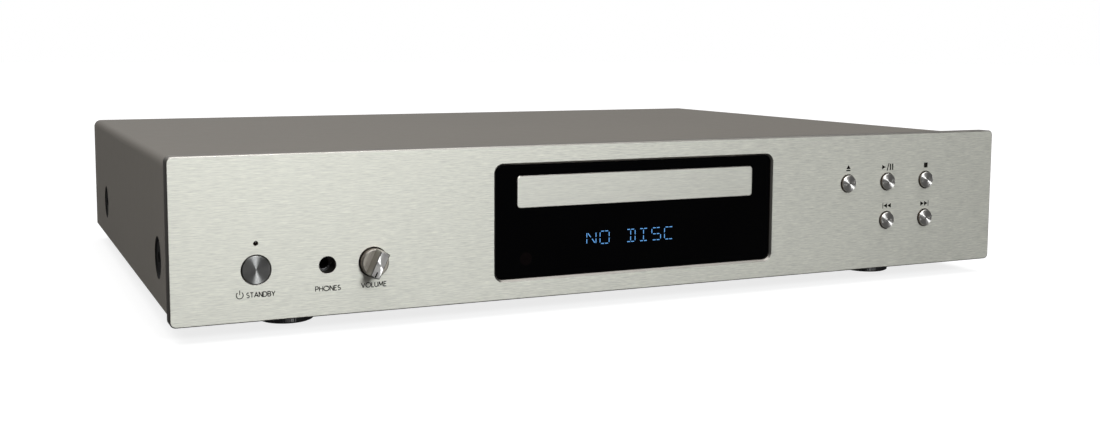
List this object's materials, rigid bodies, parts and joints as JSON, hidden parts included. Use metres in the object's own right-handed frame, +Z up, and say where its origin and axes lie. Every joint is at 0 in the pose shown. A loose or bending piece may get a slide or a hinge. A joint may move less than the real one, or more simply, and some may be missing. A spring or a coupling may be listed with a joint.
{
  "type": "cd player",
  "caption": "Full-width compact disc player with a drawer under a dark display window, round push buttons, a headphone socket, a volume knob and rear sockets.",
  "frame": {"origin": "under the middle of the bounding box, on the plane the four feet stand on", "axes": "+X across the front to the right as seen from the front, +Y from the front panel to the back, +Z up"},
  "size_m": [0.43, 0.3314, 0.0764],
  "materials": {
    "aluminium": "brushed, satin",
    "spun_buttons": "circularly spun, bright",
    "cover_paint": "satin powder coat",
    "galvanised": "galvanised, satin",
    "black_steel": "satin black",
    "window_acrylic": "polished",
    "black_plastic": "fine matt",
    "gloss_black": "gloss",
    "steel_parts": "plated",
    "white_plastic": "natural acetal",
    "belt_rubber": "matt",
    "circuit_board": "solder mask",
    "display_glass": "smoked",
    "led_lens": "unlit",
    "sled_zinc": "zinc die casting",
    "lens_plastic": "clear lens in a dark holder",
    "coil_tape": "polyester tape",
    "ribbon_plastic": "flat cable"
  },
  "bodies": {
    "case": {"front_panel": "aluminium", "top_cover": "cover_paint", "chassis_base": "galvanised", "sub_front": "galvanised", "clamp_bridge": "galvanised", "rear_panel": "black_steel", "cover_screw_front_left": "black_steel", "cover_screw_front_right": "black_steel", "cover_screw_rear_left": "black_steel", "cover_screw_rear_right": "black_steel", "display_window": "window_acrylic", "display_bezel": "black_plastic", "phones_jack": "black_plastic", "loader_frame": "black_plastic", "mains_inlet": "black_plastic", "power_switch": "black_plastic", "audio_jacks": "black_plastic", "coax_jack": "black_plastic", "optical_jack": "black_plastic", "volume_pot": "black_plastic", "foot_front_left": "gloss_black", "foot_front_right": "gloss_black", "foot_rear_left": "gloss_black", "foot_rear_right": "gloss_black", "volume_nut": "steel_parts", "load_motor": "steel_parts", "transformer_core": "steel_parts", "drive_belt": "belt_rubber", "front_board": "circuit_board", "main_board": "circuit_board", "power_board": "circuit_board", "display_module": "display_glass", "standby_led": "led_lens", "transformer_coil": "coil_tape", "front_ribbon": "ribbon_plastic"},
    "tray": {"disc_tray": "black_plastic", "tray_front": "aluminium"},
    "tray_gear": {"tray_gear": "white_plastic"},
    "pulley_gear": {"pulley_gear": "white_plastic"},
    "motor_pulley": {"motor_pulley": "white_plastic"},
    "deck": {"optical_deck": "black_plastic", "spindle_motor": "steel_parts", "sled_rail_left": "steel_parts", "sled_rail_right": "steel_parts", "sled_motor": "steel_parts"},
    "turntable": {"turntable": "black_plastic"},
    "sled": {"pickup_sled": "sled_zinc"},
    "sled_pinion": {"sled_pinion": "white_plastic"},
    "lens": {"lens_holder": "lens_plastic"},
    "cam": {"cam_slider": "white_plastic"},
    "clamper": {"clamper": "white_plastic"},
    "volume": {"volume_knob": "aluminium", "volume_shaft": "steel_parts"},
    "standby": {"standby_button": "spun_buttons"},
    "eject": {"eject_button": "spun_buttons"},
    "play_pause": {"play_pause_button": "spun_buttons"},
    "stop": {"stop_button": "spun_buttons"},
    "previous": {"previous_button": "spun_buttons"},
    "next": {"next_button": "spun_buttons"},
    "rocker": {"power_rocker": "gloss_black"}
  },
  "joints": [
    {"name": "tray_slide", "type": "slide", "parent": "case", "child": "tray", "axis": [0, -1, 0], "range_m": [0, 0.132]},
    {"name": "tray_gear_turn", "type": "hinge", "parent": "case", "child": "tray_gear", "pos_m": [-0.046, -0.12175, 0.044], "axis": [0, 0, -1], "range_deg": [0, 947.8]},
    {"name": "pulley_gear_turn", "type": "hinge", "parent": "case", "child": "pulley_gear", "pos_m": [-0.029, -0.12175, 0.039], "axis": [0, 0, 1], "range_deg": [0, 1737.2]},
    {"name": "motor_pulley_turn", "type": "hinge", "parent": "case", "child": "motor_pulley", "pos_m": [0.006, -0.12175, 0.0414], "axis": [0, 0, 1], "range_deg": [0, 4515.8]},
    {"name": "deck_lift", "type": "hinge", "parent": "case", "child": "deck", "pos_m": [0, 0.01225, 0.045], "axis": [-1, 0, 0], "range_deg": [0, 6]},
    {"name": "cam_slide", "type": "slide", "parent": "case", "child": "cam", "axis": [1, 0, 0], "range_m": [0, 0.0221]},
    {"name": "disc_spin", "type": "hinge", "parent": "deck", "child": "turntable", "pos_m": [0, -0.08628, 0.04973], "axis": [0, -0.1045, 0.9945], "continuous": true},
    {"name": "sled_slide", "type": "slide", "parent": "deck", "child": "sled", "axis": [0, 0.9945, 0.1045], "range_m": [0, 0.034]},
    {"name": "sled_pinion_turn", "type": "hinge", "parent": "deck", "child": "sled_pinion", "pos_m": [0.0305, -0.03203, 0.04537], "axis": [0, 0.1045, -0.9945], "range_deg": [0, 488.5]},
    {"name": "lens_focus", "type": "slide", "parent": "sled", "child": "lens", "axis": [0, -0.1045, 0.9945], "range_m": [-0.0003, 0.0006], "stiffness_N_per_m": 60},
    {"name": "clamper_spin", "type": "hinge", "parent": "case", "child": "clamper", "pos_m": [0, -0.08525, 0.065], "axis": [0, 0, 1], "continuous": true},
    {"name": "volume_turn", "type": "hinge", "parent": "case", "child": "volume", "pos_m": [-0.13, -0.15575, 0.0288], "axis": [0, 1, 0], "range_deg": [0, 306]},
    {"name": "standby_press", "type": "slide", "parent": "case", "child": "standby", "axis": [0, 1, 0], "range_m": [0, 0.0008], "stiffness_N_per_m": 900, "springref_m": -0.0004},
    {"name": "eject_press", "type": "slide", "parent": "case", "child": "eject", "axis": [0, 1, 0], "range_m": [0, 0.0008], "stiffness_N_per_m": 900, "springref_m": -0.0004},
    {"name": "play_pause_press", "type": "slide", "parent": "case", "child": "play_pause", "axis": [0, 1, 0], "range_m": [0, 0.0008], "stiffness_N_per_m": 900, "springref_m": -0.0004},
    {"name": "stop_press", "type": "slide", "parent": "case", "child": "stop", "axis": [0, 1, 0], "range_m": [0, 0.0008], "stiffness_N_per_m": 900, "springref_m": -0.0004},
    {"name": "previous_press", "type": "slide", "parent": "case", "child": "previous", "axis": [0, 1, 0], "range_m": [0, 0.0008], "stiffness_N_per_m": 900, "springref_m": -0.0004},
    {"name": "next_press", "type": "slide", "parent": "case", "child": "next", "axis": [0, 1, 0], "range_m": [0, 0.0008], "stiffness_N_per_m": 900, "springref_m": -0.0004},
    {"name": "power_rock", "type": "hinge", "parent": "case", "child": "rocker", "pos_m": [-0.122, 0.14925, 0.031], "axis": [-1, 0, 0], "range_deg": [0, 18]}
  ],
  "couplings": [
    {"joint": "tray_gear_turn", "follows": "tray_slide", "rad_per_m": 125},
    {"joint": "pulley_gear_turn", "follows": "tray_slide", "rad_per_m": 229.17},
    {"joint": "motor_pulley_turn", "follows": "tray_slide", "rad_per_m": 595.83},
    {"joint": "cam_slide", "follows": "deck_lift", "m_per_rad": 0.21008},
    {"joint": "sled_pinion_turn", "follows": "sled_slide", "rad_per_m": 250}
  ]
}
